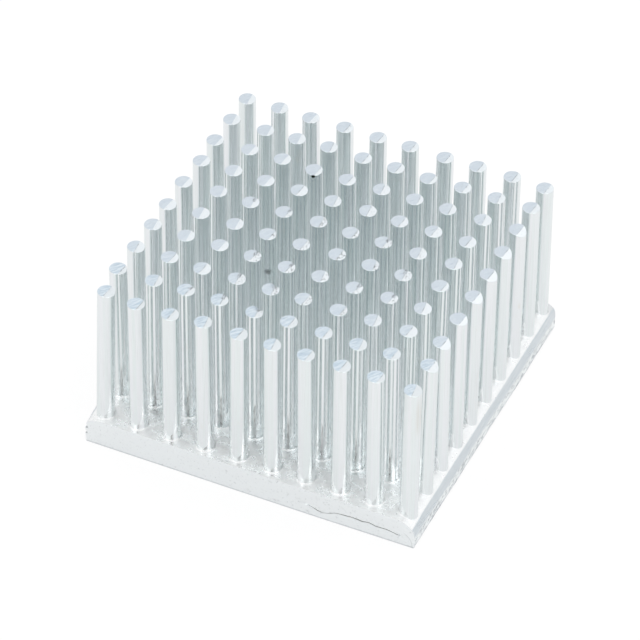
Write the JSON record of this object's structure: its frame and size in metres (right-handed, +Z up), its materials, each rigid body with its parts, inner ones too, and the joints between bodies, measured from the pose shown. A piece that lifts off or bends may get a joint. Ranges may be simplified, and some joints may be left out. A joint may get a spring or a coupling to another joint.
{
  "type": "pin fin heat sink",
  "caption": "Thick square aluminium plate with a regular grid of tall round pins, forged in one piece, that carries heat away from a chip or module under its flat base.",
  "frame": {"origin": "centre of the flat underside of the base plate", "axes": "+Z up along the pins, +X from the left rolled side to the right rolled side, +Y from the front saw cut to the back saw cut"},
  "size_m": [0.0404, 0.0398, 0.0217],
  "materials": {
    "aluminium": "bare cold-forged aluminium, bright pin flanks with fine die lines, milled pin tips and saw-cut plate ends"
  },
  "bodies": {
    "root": {"heat_sink": "aluminium"}
  },
  "joints": []
}
